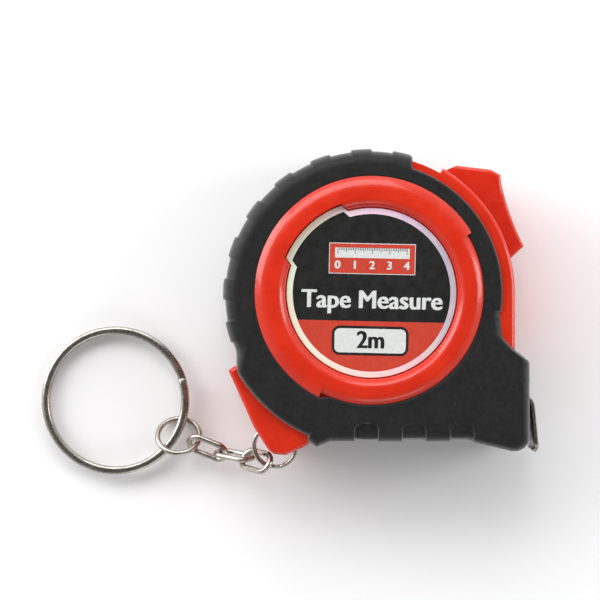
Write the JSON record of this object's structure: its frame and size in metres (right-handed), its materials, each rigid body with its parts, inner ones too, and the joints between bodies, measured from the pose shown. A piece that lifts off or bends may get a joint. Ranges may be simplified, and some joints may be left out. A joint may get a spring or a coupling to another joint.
{
  "type": "tape measure",
  "caption": "Pocket tape measure with rubber jacket, thumb lock, spring-return blade, end hook and a short chain to a split key ring",
  "frame": {"origin": "on the spindle axis, at the crest of the raised ring on the back, which the part lies on", "axes": "+X towards the blade mouth, +Y towards the top of the case, +Z out of the label"},
  "size_m": [0.0827, 0.054, 0.0218],
  "materials": {
    "shell_red": "gloss moulded ABS, orange-red",
    "grip_rubber": "soft moulded rubber, satin black",
    "label_film": "printed film with a foil edge",
    "screw_steel": "zinc-plated steel",
    "pin_steel": "drawn steel wire",
    "spindle_nylon": "natural nylon",
    "reel_plastic": "natural acetal",
    "spring_steel": "blued spring steel",
    "blade_steel": "yellow lacquered steel with printed scale",
    "hook_steel": "nickel-plated steel",
    "lock_red": "gloss moulded ABS, orange-red",
    "ring_nickel": "nickel-plated steel wire"
  },
  "bodies": {
    "case": {"front_shell": "shell_red", "back_shell": "shell_red", "front_grip": "grip_rubber", "back_grip": "grip_rubber", "front_label": "label_film", "case_screws": "screw_steel", "lug_pin": "pin_steel", "spindle": "spindle_nylon", "power_spring": "spring_steel"},
    "reel": {"reel_drum": "reel_plastic", "reel_flange": "reel_plastic", "blade_coil": "blade_steel"},
    "blade": {"blade_lead": "blade_steel", "hook_rivets": "hook_steel"},
    "hook": {"end_hook": "hook_steel"},
    "lock": {"lock_button": "lock_red"},
    "lug_ring": {"lug_ring": "ring_nickel"},
    "link_3": {"chain_link_3": "ring_nickel"},
    "link_2": {"chain_link_2": "ring_nickel"},
    "link_1": {"chain_link_1": "ring_nickel"},
    "jump_ring": {"jump_ring": "ring_nickel"},
    "key_ring": {"key_ring": "ring_nickel"}
  },
  "joints": [
    {"name": "blade_pull", "type": "slide", "parent": "case", "child": "blade", "axis": [1, 0, 0], "range_m": [0, 2], "stiffness_N_per_m": 1.5, "springref_m": -0.25, "deforming": ["blade_lead"]},
    {"name": "reel_spin", "type": "hinge", "parent": "case", "child": "reel", "pos_m": [0, 0, 0.0109], "axis": [0, 0, 1], "continuous": true, "deforming": ["power_spring"]},
    {"name": "hook_play", "type": "slide", "parent": "blade", "child": "hook", "axis": [1, 0, 0], "range_m": [0, 0.0008]},
    {"name": "lock_slide", "type": "hinge", "parent": "case", "child": "lock", "pos_m": [0, 0, 0.0109], "axis": [0, 0, -1], "range_deg": [0, 8.5]},
    {"name": "lug_ring_swing", "type": "hinge", "parent": "case", "child": "lug_ring", "pos_m": [-0.01459, -0.02363, 0.0109], "axis": [0, 0, 1], "range_deg": [-18, 45]},
    {"name": "link_3_swing", "type": "hinge", "parent": "lug_ring", "child": "link_3", "pos_m": [-0.01777, -0.02808, 0.01033], "axis": [0, 0, 1], "range_deg": [-10, 8]},
    {"name": "link_2_swing", "type": "hinge", "parent": "link_3", "child": "link_2", "pos_m": [-0.02097, -0.0274, 0.00661], "axis": [0, 0, -1], "range_deg": [-4, 16]},
    {"name": "link_1_swing", "type": "hinge", "parent": "link_2", "child": "link_1", "pos_m": [-0.02539, -0.0267, 0.00405], "axis": [0, 0, 1], "range_deg": [-16, 4]},
    {"name": "jump_ring_swing", "type": "hinge", "parent": "link_1", "child": "jump_ring", "pos_m": [-0.02887, -0.02536, 0.00366], "axis": [0, 0, -1], "range_deg": [-25, 25]},
    {"name": "key_ring_swing", "type": "hinge", "parent": "jump_ring", "child": "key_ring", "pos_m": [-0.03241, -0.02382, 0.00218], "axis": [0, 0, -1], "range_deg": [-30, 10]}
  ],
  "couplings": [
    {"joint": "reel_spin", "follows": "blade_pull", "rad_per_m": 61.118}
  ]
}
